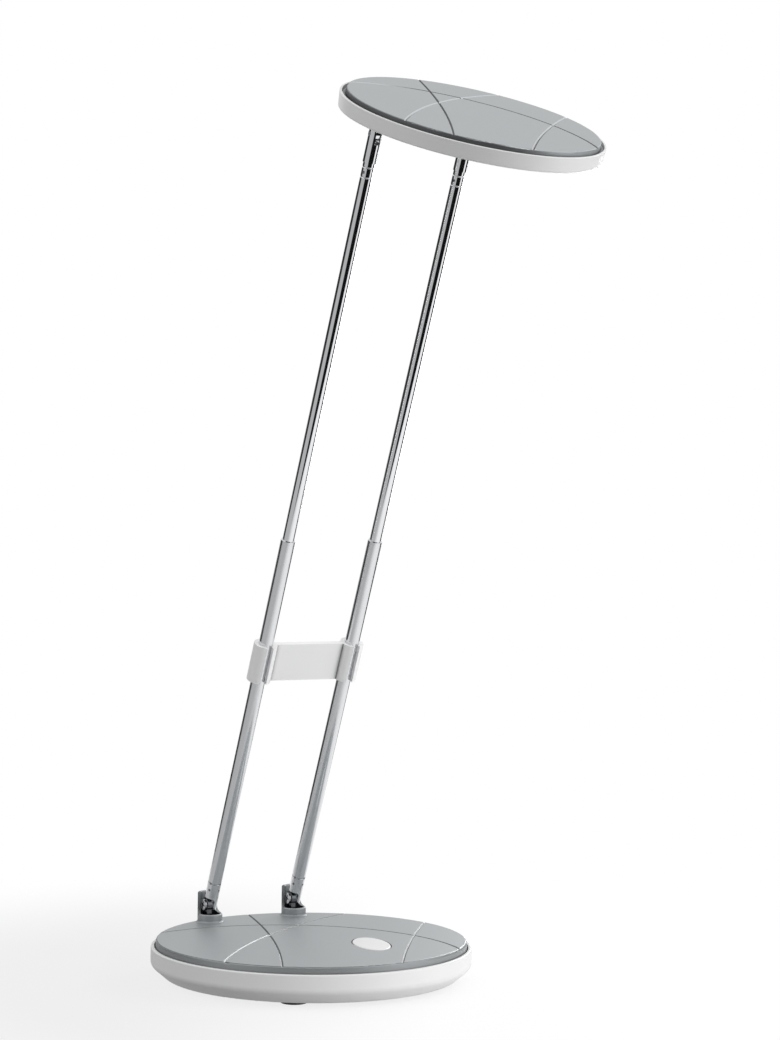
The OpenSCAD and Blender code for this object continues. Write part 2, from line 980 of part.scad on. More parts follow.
module lower_tube_left() {
    lower_tube(-1);
}

module lower_tube_right() {
    lower_tube(1);
}

module hinge_screws() {
    head_in = -lug_face - lug_t - loose;
    color(steel)
        at_both_rods()
            difference() {
                union() {
                    rod_x(head_in - hinge_head_h, head_in, hinge_head_r);
                    rod_x(head_in - hinge_head_h / 2, washer_t / 2 + ear_t, hinge_screw_r);
                }
                rotate([0, -90, 0])
                    cross_recess(hinge_head_h - head_in, recess_l, recess_w, recess_d);
            }
}

module hinge_washers() {
    color(steel)
        at_both_rods()
            difference() {
                rod_x(-washer_t / 2, washer_t / 2, washer_r);
                rod_x(-washer_t, washer_t, hinge_screw_r + seat);
            }
}

module upper_tube(side) {
    color(chrome)
        at_rod(side)
            difference() {
                rod_z(upper_at, fork_reach, upper_r);
                rod_z(upper_at - eps, fork_reach + eps, upper_in_r);
                dimples([fork_reach - upper_dimple_row], upper_r);
                crimps([for (row = crimp_rows) fork_reach - row], upper_r);
            }
}

module upper_tube_left() {
    upper_tube(-1);
}

module upper_tube_right() {
    upper_tube(1);
}

// Plugs at the foot of the upper tubes, which rub in the lower tubes and stop at their mouths
module slide_bushes() {
    color(brass)
        at_both_rods() {
            rod_z(upper_at - bush_t, upper_at, bush_r);
            rod_z(upper_at - eps, upper_at + bush_spigot, upper_in_r - loose);
        }
}

module top_fork(side) {
    half_slot = fork_slot / 2;
    slot_at = pivot_l - slot_floor;
    color(chrome)
        at_rod(side)
            difference() {
                union() {
                    rod_z(fork_reach - fork_spigot, fork_reach + eps, upper_in_r - loose);
                    rod_z(fork_reach, pivot_l, fork_r);
                    intersection() {
                        rod_z(pivot_l - eps, pivot_l + fork_r, fork_r);
                        translate([0, 0, pivot_l])
                            rod_x(-fork_r, fork_r, fork_r);
                    }
                }
                box([-half_slot, -fork_d, slot_at], [half_slot, fork_d, pivot_l + fork_d]);
                translate([0, 0, pivot_l])
                    rod_x(-fork_d, fork_d, pin_r + loose / 2);
            }
}

module top_fork_left() {
    top_fork(-1);
}

module top_fork_right() {
    top_fork(1);
}

module head_pins() {
    half = fork_r - 2 * seat;
    color(steel)
        at_both_rods()
            translate([0, 0, pivot_l])
                rod_x(-half, half, pin_r);
}

// Web with a split jaw at each end, which slides on the lower tubes
module rod_clip() {
    color(white_plastic)
        translate([0, hinge_y, pivot_z])
            rotate([rod_lean, 0, 0])
                translate([0, 0, clip_at])
                    linear_extrude(clip_h)
                        difference() {
                            union() {
                                for (side = sides)
                                    translate([side * rod_gap / 2, 0])
                                        circle(jaw_r);
                                translate([-rod_gap / 2, -clip_web / 2])
                                    square([rod_gap, clip_web]);
                            }
                            for (side = sides)
                                translate([side * rod_gap / 2, 0]) {
                                    circle(jaw_in_r);
                                    translate([-clip_slit / 2, -jaw_r - eps])
                                        square([clip_slit, jaw_r + eps]);
                                }
                        }
}

// Head

module head_shell() {
    lower_r = head_r - head_draft;
    shell_out = [[0, -head_h], [lower_r, -head_h], [head_r, 0], [0, 0]];
    hollow = [
        [0, head_floor_top], [lower_r - head_wall, head_floor_top],
        [head_in_r, 0], [head_in_r, eps], [0, eps]
    ];
    slot = [tongue_t / 2 + seat, tongue_w / 2 + seat];
    color(white_plastic)
        at_head()
            difference() {
                union() {
                    difference() {
                        rotate_extrude()
                            rounded_outline(shell_out, [0, head_edge_round, head_rim_round, 0]);
                        rotate_extrude()
                            polygon(hollow);
                    }
                    round_ring(head_screw_angles, head_screw_ring_r)
                        rod_z(head_floor_top - eps, head_boss_split, head_boss_r);
                    for (side = sides)
                        at_tongue(side)
                            rod_z(-head_h - tongue_boss_h, head_floor_top - eps, tongue_boss_r);
                }
                at_lens()
                    rod_z(-head_h - eps, head_floor_top + eps, lens_r);
                round_ring(head_screw_angles, head_screw_ring_r) {
                    rod_z(-head_h - eps, -head_h + head_screw_head_h, head_screw_head_r + seat);
                    rod_z(-head_h, head_boss_split + eps, head_screw_r + seat);
                }
                for (side = sides)
                    at_tongue(side) {
                        box(
                            [-slot.x, -slot.y, -head_h - tongue_boss_h - eps],
                            [slot.x, slot.y, head_floor_top + eps]
                        );
                        for (x = sides)
                            translate([x * tongue_screw_x, 0, 0])
                                rod_z(
                                    head_floor_top - tongue_screw_l + tongue_plate.z - seat,
                                    head_floor_top + eps,
                                    tongue_screw_r + loose
                                );
                    }
            }
}

module head_cover() {
    skirt_r = head_cover_r - head_draft - head_skirt_t;
    step_r = head_cover_r + head_draft * head_step_d / head_floor_top;
    outline = [
        [0, head_floor_top], [head_cover_r - head_draft, head_floor_top], [step_r, -head_step_d],
        [head_cover_r - head_step, -head_step_d], [head_cover_r - head_step, head_cover_rise],
        [0, head_cover_rise]
    ];
    hollow = [
        [0, head_floor_top - eps], [skirt_r, head_floor_top - eps],
        [skirt_r, head_cover_under], [0, head_cover_under]
    ];
    color(grey_plastic)
        at_head()
            difference() {
                union() {
                    difference() {
                        rotate_extrude()
                            rounded_outline(outline, [0, 0, 0, 0, head_cover_round, 0]);
                        rotate_extrude()
                            polygon(hollow);
                    }
                    round_ring(head_screw_angles, head_screw_ring_r)
                        rod_z(head_boss_split, head_cover_under + eps, head_boss_r);
                }
                round_ring(head_screw_angles, head_screw_ring_r)
                    rod_z(head_boss_split - eps, head_cover_under + eps, head_screw_r + loose);
                at_lens()
                    round_ring(led_screw_angles, led_screw_ring_r)
                        rod_z(head_cover_under - eps, head_cover_under + eps, led_screw_r + loose);
                arc_grooves(head_arcs, head_cover_r, head_cover_rise);
            }
}

module diffuser() {
    color(white_plastic)
        at_head()
            at_lens() {
                rod_z(-head_h, head_floor_top + lens_t, lens_r - lens_clear);
                rod_z(head_floor_top, head_floor_top + lens_t, lens_r + lens_flange_w);
            }
}

module thermal_pad() {
    color(steel)
        at_head()
            at_lens()
                rod_z(led_board_top, head_cover_under, pad_r);
}

module led_board() {
    color(white_plastic)
        at_head()
            at_lens()
                difference() {
                    rod_z(led_board_under, led_board_top, led_board_r);
                    round_ring(led_screw_angles, led_screw_ring_r)
                        rod_z(led_board_under - eps, led_board_top + eps, led_screw_r + seat);
                }
}

module leds() {
    color(brass)
        at_head()
            at_lens() {
                led_ring(led_inner_r, led_inner_count);
                led_ring(led_outer_r, led_outer_count);
            }
}

module led_ring(r, count) {
    for (i = [0 : count - 1])
        rotate(360 * (i + 0.5) / count)
            box(
                [r - led_l / 2, -led_w / 2, led_board_under - led_h],
                [r + led_l / 2, led_w / 2, led_board_under]
            );
}

module led_board_screws() {
    head_z = led_board_under - led_screw_head_h;
    color(steel)
        at_head()
            at_lens()
                round_ring(led_screw_angles, led_screw_ring_r) {
                    rod_z(head_z, led_board_under, led_screw_head_r);
                    rod_z(head_z, head_cover_under + eps - seat, led_screw_r);
                }
}

// Flat tongue that turns on the head pin, with a plate screwed down inside the shell
module head_tongue(side) {
    plate_low = [-tongue_plate.x / 2, -tongue_plate.y / 2, head_floor_top];
    plate_top = head_floor_top + tongue_plate.z;
    color(chrome)
        at_head()
            at_tongue(side)
                difference() {
                    union() {
                        box(
                            [-tongue_t / 2, -tongue_w / 2, -head_rise],
                            [tongue_t / 2, tongue_w / 2, head_floor_top + eps]
                        );
                        translate([0, 0, -head_rise])
                            rod_x(-tongue_t / 2, tongue_t / 2, tongue_w / 2);
                        box(plate_low, plate_low + tongue_plate);
                    }
                    translate([0, 0, -head_rise])
                        rod_x(-tongue_t, tongue_t, pin_r + loose);
                    for (x = sides)
                        translate([x * tongue_screw_x, 0, 0])
                            rod_z(head_floor_top - eps, plate_top + eps, tongue_screw_r + seat);
                }
}

module head_tongue_left() {
    head_tongue(-1);
}

module head_tongue_right() {
    head_tongue(1);
}

module tongue_screws() {
    plate_top = head_floor_top + tongue_plate.z;
    color(steel)
        at_head()
            for (side = sides)
                at_tongue(side)
                    for (x = sides)
                        translate([x * tongue_screw_x, 0, 0]) {
                            rod_z(plate_top, plate_top + tongue_screw_head_h, tongue_screw_head_r);
                            rod_z(plate_top - tongue_screw_l, plate_top + seat, tongue_screw_r);
                        }
}

module head_screws() {
    color(steel)
        at_head()
            round_ring(head_screw_angles, head_screw_ring_r)
                difference() {
                    union() {
                        rod_z(-head_h, head_screw_head_h - head_h, head_screw_head_r);
                        rod_z(-head_h, head_cover_under + eps - seat, head_screw_r);
                    }
                    rotate([180, 0, 0])
                        cross_recess(head_h, recess_l * small_recess, recess_w, recess_d * small_recess);
                }
}

// One wire from each tongue to the light board
module head_wires() {
    start_y = head_forward - tongue_plate.y / 2 + 2 * head_wire_r;
    start_z = head_floor_top + tongue_plate.z + head_wire_r;
    end_y = lens_y + led_board_r - 4;
    end_z = led_board_under - head_wire_r - loose;
    color(wire_red)
        at_head()
            for (side = sides)
                wire(
                    [side * (rod_gap / 2 - head_wire_r), start_y, start_z],
                    [side * rod_gap / 5, end_y, end_z],
                    head_wire_r
                );
}

base_tray();
base_cover();
ballast_plate();
base_feet();
cable_grommet();
control_board();
board_components();
push_switch();
board_screws();
cover_screws();
ballast_screws();
hinge_cups();
hinge_lug_left();
hinge_lug_right();
lug_tags();
lug_nuts();
lug_wires();
power_button();
switch_plunger();
rod_end_left();
rod_end_right();
lower_tube_left();
lower_tube_right();
hinge_screws();
hinge_washers();
upper_tube_left();
upper_tube_right();
slide_bushes();
top_fork_left();
top_fork_right();
head_pins();
rod_clip();
head_shell();
head_cover();
diffuser();
led_board();
leds();
thermal_pad();
head_tongue_left();
head_tongue_right();
tongue_screws();
head_screws();
led_board_screws();
head_wires();
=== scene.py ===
"""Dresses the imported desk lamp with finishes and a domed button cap, and sets up studio and camera."""

import json
import logging
import math
from dataclasses import dataclass
from enum import Enum
from typing import Union

import bmesh
import bpy
from mathutils import Matrix, Vector


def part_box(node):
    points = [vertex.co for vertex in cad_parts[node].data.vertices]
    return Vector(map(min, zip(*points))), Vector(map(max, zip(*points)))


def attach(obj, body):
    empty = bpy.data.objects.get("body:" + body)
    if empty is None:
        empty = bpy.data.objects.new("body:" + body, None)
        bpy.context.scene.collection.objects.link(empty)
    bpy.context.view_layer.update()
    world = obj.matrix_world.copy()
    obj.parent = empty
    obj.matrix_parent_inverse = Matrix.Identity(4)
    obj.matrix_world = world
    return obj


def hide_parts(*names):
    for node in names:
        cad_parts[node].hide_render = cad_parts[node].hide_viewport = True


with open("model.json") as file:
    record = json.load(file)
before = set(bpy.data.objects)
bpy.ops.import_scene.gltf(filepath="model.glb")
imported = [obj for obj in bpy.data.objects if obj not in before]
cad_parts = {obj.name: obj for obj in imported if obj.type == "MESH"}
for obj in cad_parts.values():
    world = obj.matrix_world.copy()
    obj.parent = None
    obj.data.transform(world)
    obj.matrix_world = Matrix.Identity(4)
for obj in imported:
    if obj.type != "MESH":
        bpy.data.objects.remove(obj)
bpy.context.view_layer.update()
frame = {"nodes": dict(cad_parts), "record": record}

LOG = logging.getLogger("desk_lamp")

Colour = tuple[float, float, float]
Point = tuple[float, float, float]
Pair = tuple[float, float]
Value = Union[float, tuple, "Sock"]

MM = 0.001
ROD_LEAN = math.radians(23.2)
PICTURE_RIGHT = (0.88, -0.475, 0.0)
PICTURE_BACK = (0.475, 0.88, 0.0)
PURE_WHITE = (1.0, 1.0, 1.0)
SILVER_GREY = (0.40, 0.42, 0.43)


@dataclass(frozen=True)
class Span:
    """Range of a value over which a mask rises from zero to one."""

    low: float
    high: float


@dataclass(frozen=True)
class Clouds:
    """Noise by its clouds per metre, its number of finer layers and their share."""

    per_metre: float
    layers: float = 2.0
    share: float = 0.5


class Sock:
    """Output socket of a shader node that takes part in Python arithmetic."""

    def __init__(self, web: "Web", socket: bpy.types.NodeSocket | None) -> None:
        """Keep the socket and the node web that it belongs to."""
        self.web = web
        self.socket = socket

    def __add__(self, other: Value) -> "Sock":
        """Sum of two values."""
        return self.web.math("ADD", self, other)

    __radd__ = __add__

    def __sub__(self, other: Value) -> "Sock":
        """This value less another."""
        return self.web.math("SUBTRACT", self, other)

    def __rsub__(self, other: Value) -> "Sock":
        """Another value less this one."""
        return self.web.math("SUBTRACT", other, self)

    def __mul__(self, other: Value) -> "Sock":
        """Product of two values."""
        return self.web.math("MULTIPLY", self, other)

    __rmul__ = __mul__

    def least(self, other: Value) -> "Sock":
        """The smaller of two values."""
        return self.web.math("MINIMUM", self, other)

    def most(self, other: Value) -> "Sock":
        """The larger of two values."""
        return self.web.math("MAXIMUM", self, other)

    def ramp(self, span: Span) -> "Sock":
        """Zero at the low end of a span, one at its high end and smooth between them."""
        inputs = {"Value": self, "From Min": span.low, "From Max": span.high}
        return self.web.node("ShaderNodeMapRange", {"interpolation_type": "SMOOTHSTEP"}, inputs)


class Web:
    """Node tree of one material or of the world."""

    corner_shade_samples: int = 8
    open_span: Span = Span(0.6, 0.97)

    def __init__(self, tree: bpy.types.NodeTree) -> None:
        """Empty the tree and keep it."""
        tree.nodes.clear()
        self.tree = tree

    def node(
        self,
        kind: str,
        settings: dict | None = None,
        inputs: dict | None = None,
        out: int | str = 0,
    ) -> Sock:
        """Add one node.

        Args:
            kind: Type name of the node.
            settings: Properties that are set before the sockets.
            inputs: Values or links by the name or index of the input socket.
            out: Name or index of the output socket.

        Returns:
            The chosen output, ready for arithmetic, or an empty socket where the node has none.
        """
        made = self.tree.nodes.new(kind)
        for key, value in (settings or {}).items():
            setattr(made, key, value)
        for key, value in (inputs or {}).items():
            if isinstance(value, Sock):
                self.tree.links.new(value.socket, made.inputs[key])
            else:
                made.inputs[key].default_value = value
        return Sock(self, made.outputs[out] if len(made.outputs) else None)

    def math(self, operation: str, a: Value, b: Value) -> Sock:
        """Value of one Math node on two values."""
        return self.node("ShaderNodeMath", {"operation": operation}, {0: a, 1: b})

    def dot(self, vector: Sock, way: Point) -> Sock:
        """Share of a vector that lies along a fixed direction."""
        inputs = {0: vector, 1: way}
        return self.node("ShaderNodeVectorMath", {"operation": "DOT_PRODUCT"}, inputs, out="Value")

    def place(self) -> Sock:
        """Object coordinates, in metres."""
        return self.node("ShaderNodeTexCoord", out="Object")

    def along(self, way: Point) -> Sock:
        """Place on the piece measured along a direction, in metres."""
        return self.dot(self.place(), way)

    def facing(self, way: Point) -> Sock:
        """Cosine between the surface and a direction of the piece's own frame."""
        return self.dot(self.node("ShaderNodeTexCoord", out="Normal"), way)

    def drawn(self, lean: float, scale: Point) -> Sock:
        """Object coordinates along rods that lean forward, stretched along each axis.

        Args:
            lean: Lean of the rods from upright, in radians.
            scale: Factor along each axis after the turn.

        Returns:
            Socket of the new coordinates.
        """
        turn = {"Vector": self.place(), "Rotation": (-lean, 0.0, 0.0)}
        turned = self.node("ShaderNodeVectorRotate", {"rotation_type": "EULER_XYZ"}, turn)
        return self.node("ShaderNodeVectorMath", {"operation": "MULTIPLY"}, {0: turned, 1: scale})

    def noise(self, vector: Sock, clouds: Clouds) -> Sock:
        """Cloudy value from zero to one.

        Args:
            vector: Coordinates to read the noise at.
            clouds: Size and layers of the noise.

        Returns:
            Socket of the noise value.
        """
        inputs = {
            "Vector": vector,
            "Scale": clouds.per_metre,
            "Detail": clouds.layers,
            "Roughness": clouds.share,
        }
        return self.node("ShaderNodeTexNoise", {"noise_dimensions": "3D"}, inputs)

    def cells(self, vector: Sock, per_metre: float, out: int | str = 0, **settings: str) -> Sock:
        """Value or colour of a pattern of cells.

        Args:
            vector: Coordinates to read the pattern at.
            per_metre: Cells per metre.
            out: Name or index of the output.
            **settings: Kind of distance and feature that is read.

        Returns:
            Socket of the chosen output.
        """
        return self.node("ShaderNodeTexVoronoi", settings, {"Vector": vector, "Scale": per_metre}, out)

    def tint(self, share: Value, first: Value, second: Value) -> Sock:
        """Mix of two colours.

        Args:
            share: Share of the second colour.
            first: First colour.
            second: Second colour.

        Returns:
            Socket of the mixed colour.
        """
        ends = [solid(end) if isinstance(end, tuple) else end for end in (first, second)]
        return self.node("ShaderNodeMix", {"data_type": "RGBA"}, {0: share, 6: ends[0], 7: ends[1]}, out=2)

    def corner_shade(self, reach: float) -> Sock:
        """Share of painted shade: one in dents and narrow corners of the same piece, and zero on open
        surfaces.

        Args:
            reach: Distance over which walls close a corner in, in metres.

        Returns:
            Socket of the share.
        """
        settings = {"samples": self.corner_shade_samples, "only_local": True}
        free = self.node("ShaderNodeAmbientOcclusion", settings, {"Distance": reach}, out="AO")
        return 1 - free.ramp(self.open_span)

    def bump(self, height: Sock, depth: float) -> Sock:
        """Normal of a surface with relief of a height from zero to one and a depth in metres."""
        return self.node("ShaderNodeBump", inputs={"Height": height, "Distance": depth})

    def blend(self, share: Value, first: Sock, second: Sock) -> Sock:
        """Mix of two shaders by the share of the second."""
        return self.node("ShaderNodeMixShader", inputs={0: share, 1: first, 2: second})

    def glossy(self, inputs: dict) -> Sock:
        """Principled surface with the given socket values."""
        return self.node("ShaderNodeBsdfPrincipled", inputs=inputs)

    def shining(self, kind: str, strength: Value) -> Sock:
        """White light of a surface or of the world."""
        return self.node(kind, inputs={"Color": solid(PURE_WHITE), "Strength": strength})

    def seen(self) -> Sock:
        """One for what the camera, mirrors and clear pieces show, and zero for soft light.

        Returns:
            Socket of the share.
        """
        kinds = ("Camera", "Glossy", "Transmission")
        rays = [self.node("ShaderNodeLightPath", out=f"Is {kind} Ray") for kind in kinds]
        return rays[0].most(rays[1]).most(rays[2])


def shade(colour: Colour, factor: float) -> Colour:
    """Colour made lighter or darker by a factor."""
    return tuple(min(1.0, channel * factor) for channel in colour)


def solid(colour: Colour) -> tuple[float, float, float, float]:
    """Colour with full cover, as sockets take it."""
    return (*colour, 1.0)


def put(name: str, data: bpy.types.ID) -> bpy.types.Object:
    """Put an object into the scene.

    Args:
        name: Name of the object.
        data: Its mesh, light or camera.

    Returns:
        The new object.
    """
    made = bpy.data.objects.new(name, data)
    bpy.context.scene.collection.objects.link(made)
    return made


@dataclass(frozen=True)
class Finish:
    """A finish that builds its own material."""

    label: str

    def surface(self, web: Web) -> Sock:
        """Shader of the finish; each kind of finish has its own."""
        raise NotImplementedError

    def material(self) -> bpy.types.Material:
        """Build the material of this finish.

        Returns:
            The new material.
        """
        made = bpy.data.materials.new(self.label)
        made.use_nodes = True
        web = Web(made.node_tree)
        web.node("ShaderNodeOutputMaterial", inputs={"Surface": self.surface(web)})
        return made


@dataclass(frozen=True)
class MouldedPlastic(Finish):
    """Moulded plastic with the fine spark texture of its mould, faint flow clouds and handling marks, and
    painted shade in corners where a reach is given.
    """

    colour: Colour
    roughness: float
    grain: float
    grain_depth: float
    spread: float
    corner_shade_reach: float = 0.0
    corner_shade_tone: float = 0.12
    grain_layers: Pair = (3.0, 0.6)
    grain_rough: float = 0.03
    speck: float = 0.15
    speck_shade: float = 0.85
    speck_span: Span = Span(0.5, 0.9)
    flow: Clouds = Clouds(28.0, 3.0)
    marks: Clouds = Clouds(90.0, 5.0, 0.65)
    mark_span: Span = Span(0.35, 0.75)
    mark_rough: float = 0.02

    def surface(self, web: Web) -> Sock:
        """Shader of moulded plastic.

        Args:
            web: Node tree of the material.

        Returns:
            Socket of the shader.
        """
        place = web.place()
        grain = web.noise(place, Clouds(1 / self.grain, *self.grain_layers))
        flow = web.noise(place, self.flow)
        marks = web.noise(place, self.marks).ramp(self.mark_span)
        colour = web.tint(flow, shade(self.colour, 1 - self.spread), shade(self.colour, 1 + self.spread))
        specks = (1 - grain).ramp(self.speck_span) * self.speck
        colour = web.tint(specks, colour, shade(self.colour, self.speck_shade))
        # Painted shade in dents and narrow corners.
        if self.corner_shade_reach:
            colour = web.tint(web.corner_shade(self.corner_shade_reach), colour, shade(self.colour, self.corner_shade_tone))
        return web.glossy({
            "Base Color": colour,
            "Roughness": self.roughness + self.mark_rough * marks + self.grain_rough * (grain - 0.5),
            "Normal": web.bump(grain, self.grain_depth),
        })


@dataclass(frozen=True)
class SilverPaint(Finish):
    """Silver-grey paint with fine metal flakes over moulded plastic, and painted shade in corners where a
    reach is given.
    """

    colour: Colour
    metal: float = 0.7
    roughness: float = 0.45
    corner_shade_reach: float = 0.0
    corner_shade_tone: float = 0.12
    flake: float = 0.00035
    flake_spread: float = 0.03
    flake_metal: float = 0.04
    cloud: Clouds = Clouds(28.0, 3.0)
    cloud_rough: float = 0.03
    peel: Clouds = Clouds(700.0)
    peel_depth: float = 0.0000015

    def surface(self, web: Web) -> Sock:
        """Shader of silver paint.

        Args:
            web: Node tree of the material.

        Returns:
            Socket of the shader.
        """
        place = web.place()
        flakes = web.cells(place, 1 / self.flake, out="Color", feature="F1")
        flake = web.node("ShaderNodeSeparateColor", inputs={0: flakes}, out=0)
        cloud = web.noise(place, self.cloud)
        dark, light = (shade(self.colour, 1 + step) for step in (-self.flake_spread, self.flake_spread))
        colour = web.tint(cloud, web.tint(flake, dark, light), self.colour)
        # Painted shade in dents and narrow corners.
        if self.corner_shade_reach:
            colour = web.tint(web.corner_shade(self.corner_shade_reach), colour, shade(self.colour, self.corner_shade_tone))
        return web.glossy({
            "Base Color": colour,
            "Metallic": self.metal + self.flake_metal * (flake - 0.5),
            "Roughness": self.roughness + self.cloud_rough * (cloud - 0.5),
            "Normal": web.bump(web.noise(place, self.peel), self.peel_depth),
        })


@dataclass(frozen=True)
class GroovedPaint(SilverPaint):
    """Silver paint of a cover with a painted highlight on groove walls and edge facing right, painted shade
    elsewhere.
    """

    lean: float = 0.0
    highlight_tone: float = 1.5
    highlight_metal: float = 0.5
    highlight_rough: float = 0.4
    shade_tone: float = 0.3
    shade_rough: float = 0.6
    groove_foot: Span = Span(0.60, 0.68)
    groove_brim: Span = Span(0.82, 0.90)
    wall_highlight: float = 1.0
    wall_highlight_span: Span = Span(0.25, 0.45)
    edge_span: Span = Span(0.30, 0.50)
    edge_shade: float = 0.35
    edge_shade_span: Span = Span(0.1, 0.7)
    edge_highlight: float = 0.4
    edge_highlight_span: Span = Span(0.3, 0.8)
    # Share of the painted highlight on the groove walls that fades out at the back left.
    wear: float = 0.62
    # No cover reaches this far back, so only a cover that gives its own span has its painted highlight
    # faded.
    highlight_fade_back: Span = Span(1.0, 1.01)
    highlight_fade_right: Span = Span(0.020, 0.030)

    def highlight_faded(self, web: Web) -> Sock:
        """Share of the painted highlight that fades out at the back left."""
        behind = web.along(PICTURE_BACK).ramp(self.highlight_fade_back)
        return self.wear * behind * (1 - web.along(PICTURE_RIGHT).ramp(self.highlight_fade_right))

    def surface(self, web: Web) -> Sock:
        """Shader of a grooved cover.

        Args:
            web: Node tree of the material.

        Returns:
            Socket of the shader.
        """
        up = web.facing((0.0, -math.sin(self.lean), math.cos(self.lean)))
        side = web.facing(PICTURE_RIGHT)
        groove = up.ramp(self.groove_foot) * (1 - up.ramp(self.groove_brim))
        edge = 1 - up.ramp(self.edge_span)
        # Painted highlight: a lighter, more metallic copy of the paint.
        bright = web.glossy({
            "Base Color": solid(shade(self.colour, self.highlight_tone)),
            "Metallic": self.highlight_metal,
            "Roughness": self.highlight_rough,
        })
        # Painted shade: a darker, duller copy of the paint.
        dark = web.glossy({
            "Base Color": solid(shade(self.colour, self.shade_tone)),
            "Roughness": self.shade_rough,
        })
        # Painted highlight on groove walls that face the right, painted shade on the others.
        lit = self.wall_highlight * side.ramp(self.wall_highlight_span)
        walls = web.blend(lit * (1 - self.highlight_faded(web)), dark, bright)
        cover = web.blend(groove, super().surface(web), walls)
        # Painted shade on the edge away from the right, then a painted highlight on the edge facing it.
        cover = web.blend(edge * (1 - side.ramp(self.edge_shade_span)) * self.edge_shade, cover, dark)
        return web.blend(edge * side.ramp(self.edge_highlight_span) * self.edge_highlight, cover, bright)


@dataclass(frozen=True)
class PlatedTube(Finish):
    """Chrome plating with fine drawing lines along the rods, haze, pits and painted shade in dents."""

    colour: Colour
    roughness: float
    line_depth: float
    haze: float
    line_scale: Point = (2600.0, 2600.0, 40.0)
    lines: Clouds = Clouds(1.0, 4.0, 0.6)
    line_shade: float = 0.93
    line_rough: float = 0.5
    haze_clouds: Clouds = Clouds(120.0, 4.0, 0.6)
    haze_span: Span = Span(0.3, 0.8)
    pits: Clouds = Clouds(1500.0)
    pit_span: Span = Span(0.68, 0.8)
    pit_share: float = 0.3
    pit_shade: float = 0.55
    corner_shade_reach: float = 0.0012
    corner_shade_tone: float = 0.06

    def surface(self, web: Web) -> Sock:
        """Shader of plated metal.

        Args:
            web: Node tree of the material.

        Returns:
            Socket of the shader.
        """
        lines = web.noise(web.drawn(ROD_LEAN, self.line_scale), self.lines)
        haze = web.noise(web.place(), self.haze_clouds).ramp(self.haze_span)
        pits = web.noise(web.place(), self.pits).ramp(self.pit_span)
        colour = web.tint(lines, shade(self.colour, self.line_shade), self.colour)
        colour = web.tint(pits * self.pit_share, colour, shade(self.colour, self.pit_shade))
        # Painted shade in dents and recesses.
        colour = web.tint(web.corner_shade(self.corner_shade_reach), colour, shade(self.colour, self.corner_shade_tone))
        line_rough = self.line_rough * self.roughness
        return web.glossy({
            "Base Color": colour,
            "Metallic": 1.0,
            "Roughness": self.roughness + self.haze * haze + line_rough * (lines - 0.5),
            "Normal": web.bump(lines, self.line_depth),
        })


@dataclass(frozen=True)
class MachinedMetal(Finish):
    """Turned or pressed metal with tool marks and darker spots."""

    colour: Colour
    roughness: float
    tool: Clouds = Clouds(2200.0, 4.0, 0.7)
    tool_rough: float = 0.1
    tool_depth: float = 0.000005
    patina: Clouds = Clouds(260.0, 4.0, 0.6)
    patina_span: Span = Span(0.35, 0.75)
    patina_shade: float = 0.72
    patina_rough: float = 0.15

    def surface(self, web: Web) -> Sock:
        """Shader of machined metal.

        Args:
            web: Node tree of the material.

        Returns:
            Socket of the shader.
        """
        place = web.place()
        tool = web.noise(place, self.tool)
        patina = web.noise(place, self.patina).ramp(self.patina_span)
        return web.glossy({
            "Base Color": web.tint(patina, self.colour, shade(self.colour, self.patina_shade)),
            "Metallic": 1.0,
            "Roughness": self.roughness + self.patina_rough * patina + self.tool_rough * (tool - 0.5),
            "Normal": web.bump(tool, self.tool_depth),
        })


@dataclass(frozen=True)
class SoftRubber(Finish):
    """Rubber with a dull, dusty skin."""

    colour: Colour
    dust: Colour = (0.16, 0.16, 0.17)
    roughness: float = 0.62
    skin: Clouds = Clouds(1800.0, 3.0)
    skin_depth: float = 0.00001
    dust_clouds: Clouds = Clouds(160.0, 5.0, 0.7)
    dust_span: Span = Span(0.45, 0.8)
    dust_share: float = 0.5
    dust_rough: float = 0.2

    def surface(self, web: Web) -> Sock:
        """Shader of rubber.

        Args:
            web: Node tree of the material.

        Returns:
            Socket of the shader.
        """
        place = web.place()
        dust = web.noise(place, self.dust_clouds).ramp(self.dust_span)
        return web.glossy({
            "Base Color": web.tint(dust * self.dust_share, self.colour, self.dust),
            "Roughness": self.roughness + self.dust_rough * dust,
            "Normal": web.bump(web.noise(place, self.skin), self.skin_depth),
        })


@dataclass(frozen=True)
class CircuitBoard(Finish):
    """Glass-fibre board with a solder mask, copper tracks below it and bare pads."""

    mask: Colour
    track: Colour
    pad: Colour
    roughness: float = 0.42
    tracks_per_metre: float = 230.0
    track_span: Span = Span(0.03, 0.06)
    pads_per_metre: float = 260.0
    pad_span: Span = Span(0.10, 0.14)
    pad_metal: float = 0.9
    pad_polish: float = 0.12
    relief: float = 0.00003

    def surface(self, web: Web) -> Sock:
        """Shader of a circuit board.

        Args:
            web: Node tree of the material.

        Returns:
            Socket of the shader.
        """
        place = web.place()
        cells = web.cells(place, self.tracks_per_metre, distance="MANHATTAN", feature="DISTANCE_TO_EDGE")
        tracks = 1 - cells.ramp(self.track_span)
        pads = 1 - web.cells(place, self.pads_per_metre, feature="F1").ramp(self.pad_span)
        return web.glossy({
            "Base Color": web.tint(pads, web.tint(tracks, self.mask, self.track), self.pad),
            "Metallic": pads * self.pad_metal,
            "Roughness": self.roughness - self.pad_polish * pads,
            "Normal": web.bump(tracks.most(pads), self.relief),
        })


